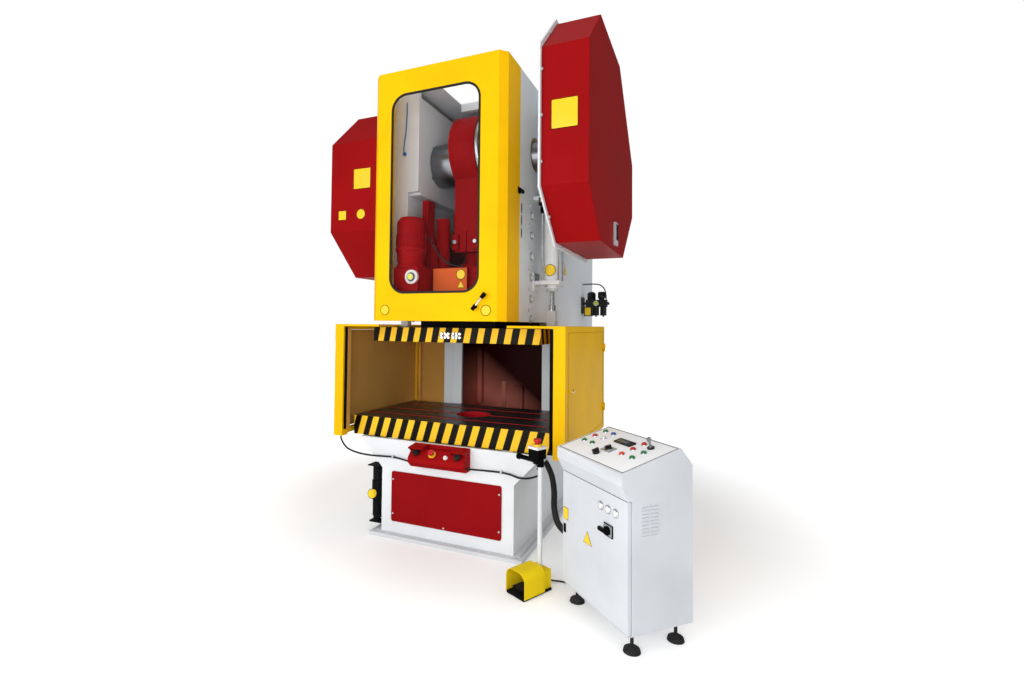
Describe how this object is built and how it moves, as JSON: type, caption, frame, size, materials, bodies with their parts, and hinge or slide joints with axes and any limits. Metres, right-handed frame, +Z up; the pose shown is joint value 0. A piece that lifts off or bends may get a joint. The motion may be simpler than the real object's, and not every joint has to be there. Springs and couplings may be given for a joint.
{
  "type": "c-frame mechanical press",
  "caption": "Open-front crank press: C-shaped welded frame, T-slot bed, sliding ram in a windowed hood, side gear covers, guards, two-hand box, foot pedal and console.",
  "frame": {"origin": "on the floor at the centre of the four anchor bolts of the base plate", "axes": "+Z up, -Y to the front where the operator stands, +X to the side of the gear cover and the console"},
  "size_m": [2.6622, 3.0969, 3.318],
  "materials": {
    "machine_white": "gloss",
    "console_white": "satin",
    "press_red": "gloss",
    "ram_red": "gloss",
    "hood_yellow": "gloss",
    "guard_yellow": "gloss",
    "pedal_yellow": "satin",
    "bed_iron": "machined",
    "striped_edge": "satin",
    "steel": "machined",
    "bolt_steel": "zinc",
    "chrome": "polished",
    "gear_iron": "machined",
    "bronze": "machined",
    "black_rubber": "matt",
    "black_plastic": "matt",
    "black_metal": "satin",
    "clear_pane": "clear",
    "red_plastic": "gloss",
    "green_plastic": "gloss",
    "white_plastic": "gloss",
    "motor_grey": "satin"
  },
  "bodies": {
    "frame": {"base": "machine_white", "pedestal": "machine_white", "cheek_left": "machine_white", "cheek_right": "machine_white", "frame_web": "machine_white", "front_panel": "press_red", "fasteners": "bolt_steel", "bed": "bed_iron", "plain_bearings": "bronze", "hood_hinges": "black_metal", "guard_frame_left": "guard_yellow", "guard_frame_right": "guard_yellow", "light_curtains": "black_metal", "gear_cover": "press_red", "flywheel_cover": "press_red", "cover_plates": "machine_white", "drive_motor": "motor_grey", "balance_cylinders": "machine_white", "two_hand_box": "press_red", "air_tank": "black_metal", "air_service_unit": "black_plastic", "pedal_guard": "pedal_yellow", "pedal_post": "machine_white", "console_cabinet": "console_white", "console_feet": "black_plastic", "console_fittings": "black_plastic", "console_buttons": "green_plastic", "light_curtain_cable": "black_rubber", "box_cable": "black_rubber", "pedal_cable": "black_rubber", "conduit": "black_rubber"},
    "hood": {"hood_shell": "hood_yellow", "window_seal": "black_rubber", "window_pane": "clear_pane", "hood_handles": "black_metal"},
    "left_door": {"guard_door_left": "guard_yellow"},
    "right_door": {"guard_door_right": "guard_yellow"},
    "crank": {"crankshaft": "steel", "bull_gear": "gear_iron"},
    "pinion": {"pinion_shaft": "steel"},
    "flywheel": {"flywheel": "gear_iron"},
    "motor_rotor": {"motor_pulley": "gear_iron"},
    "rod": {"connecting_rod": "ram_red", "rod_ring": "steel"},
    "ram": {"ram_screw": "ram_red", "ram_block": "ram_red", "ram_plate": "striped_edge", "gear_motor": "ram_red", "balance_rods": "chrome"},
    "dial": {"height_dial": "white_plastic"},
    "left_palm": {"palm_button_left": "black_plastic"},
    "right_palm": {"palm_button_right": "black_plastic"},
    "box_stop": {"box_stop_button": "red_plastic"},
    "regulator": {"regulator_knob": "black_plastic"},
    "treadle": {"pedal_treadle": "black_metal"},
    "post_stop": {"post_stop_button": "red_plastic"},
    "cabinet_door": {"console_door": "console_white"},
    "switch": {"main_switch": "black_plastic"},
    "mode": {"mode_selector": "black_plastic"},
    "key": {"key_switch": "steel"}
  },
  "joints": [
    {"name": "crank_turn", "type": "hinge", "parent": "frame", "child": "crank", "pos_m": [0, -0.72, 2.61], "axis": [1, 0, 0], "range_deg": [0, 180]},
    {"name": "ram_stroke", "type": "slide", "parent": "frame", "child": "rod", "axis": [0, 0, -1], "range_m": [0, 0.12]},
    {"name": "pinion_turn", "type": "hinge", "parent": "frame", "child": "pinion", "pos_m": [0, -0.249, 2.47487], "axis": [1, 0, 0], "range_deg": [-800.01, 0.01]},
    {"name": "flywheel_turn", "type": "hinge", "parent": "frame", "child": "flywheel", "pos_m": [-0.869, -0.249, 2.47487], "axis": [1, 0, 0], "continuous": true},
    {"name": "motor_turn", "type": "hinge", "parent": "frame", "child": "motor_rotor", "pos_m": [-0.869, 0.349, 2.47487], "axis": [1, 0, 0], "continuous": true},
    {"name": "height_adjust", "type": "slide", "parent": "rod", "child": "ram", "axis": [0, 0, -1], "range_m": [0, 0.08]},
    {"name": "height_dial_turn", "type": "hinge", "parent": "ram", "child": "dial", "pos_m": [-0.222, -1.225, 1.732], "axis": [0, -1, 0], "range_deg": [0, 288.01]},
    {"name": "hood_swing", "type": "hinge", "parent": "frame", "child": "hood", "pos_m": [-0.508, -1.057, 2.265], "axis": [0, 0, -1], "range_deg": [0, 100]},
    {"name": "left_guard_swing", "type": "hinge", "parent": "frame", "child": "left_door", "pos_m": [-0.827, -0.149, 1.035], "axis": [0, 0, -1], "range_deg": [0, 110]},
    {"name": "right_guard_swing", "type": "hinge", "parent": "frame", "child": "right_door", "pos_m": [0.827, -0.149, 1.035], "axis": [0, 0, 1], "range_deg": [0, 110]},
    {"name": "left_palm_press", "type": "slide", "parent": "frame", "child": "left_palm", "axis": [0, 0.7071, -0.7071], "range_m": [0, 0.006], "stiffness_N_per_m": 500},
    {"name": "right_palm_press", "type": "slide", "parent": "frame", "child": "right_palm", "axis": [0, 0.7071, -0.7071], "range_m": [0, 0.006], "stiffness_N_per_m": 500},
    {"name": "box_stop_press", "type": "slide", "parent": "frame", "child": "box_stop", "axis": [0, 0.7071, -0.7071], "range_m": [0, 0.005], "stiffness_N_per_m": 800},
    {"name": "post_stop_press", "type": "slide", "parent": "frame", "child": "post_stop", "axis": [0, 0, -1], "range_m": [0, 0.006], "stiffness_N_per_m": 800},
    {"name": "regulator_turn", "type": "hinge", "parent": "frame", "child": "regulator", "pos_m": [0.636, 0.73, 1.69], "axis": [0, 0, 1], "range_deg": [0, 300]},
    {"name": "treadle_press", "type": "hinge", "parent": "frame", "child": "treadle", "pos_m": [0.69384, -1.453, 0.04], "axis": [0.8934, -0.4493, 0], "range_deg": [0, 11], "stiffness_Nm_per_rad": 4, "springref_deg": -5.73},
    {"name": "cabinet_door_swing", "type": "hinge", "parent": "frame", "child": "cabinet_door", "pos_m": [1.25316, -1.84735, 0.38], "axis": [0, 0, 1], "range_deg": [0, 115]},
    {"name": "main_switch_turn", "type": "hinge", "parent": "cabinet_door", "child": "switch", "pos_m": [1.15442, -1.76089, 0.498], "axis": [-0.7034, -0.7108, 0], "range_deg": [-90, 0]},
    {"name": "mode_turn", "type": "hinge", "parent": "frame", "child": "mode", "pos_m": [1.12316, -1.59771, 0.82429], "axis": [-0.182, -0.1839, 0.9659], "range_deg": [-60, 60]},
    {"name": "key_turn", "type": "hinge", "parent": "frame", "child": "key", "pos_m": [1.32345, -1.63131, 0.85564], "axis": [-0.182, -0.1839, 0.9659], "range_deg": [-90, 0]}
  ],
  "couplings": [
    {"joint": "ram_stroke", "follows": "crank_turn", "m_per_rad": 0.038197},
    {"joint": "pinion_turn", "follows": "crank_turn", "ratio": -4.4444},
    {"joint": "height_dial_turn", "follows": "height_adjust", "rad_per_m": 62.832},
    {"joint": "motor_turn", "follows": "flywheel_turn", "ratio": 8.3333}
  ]
}
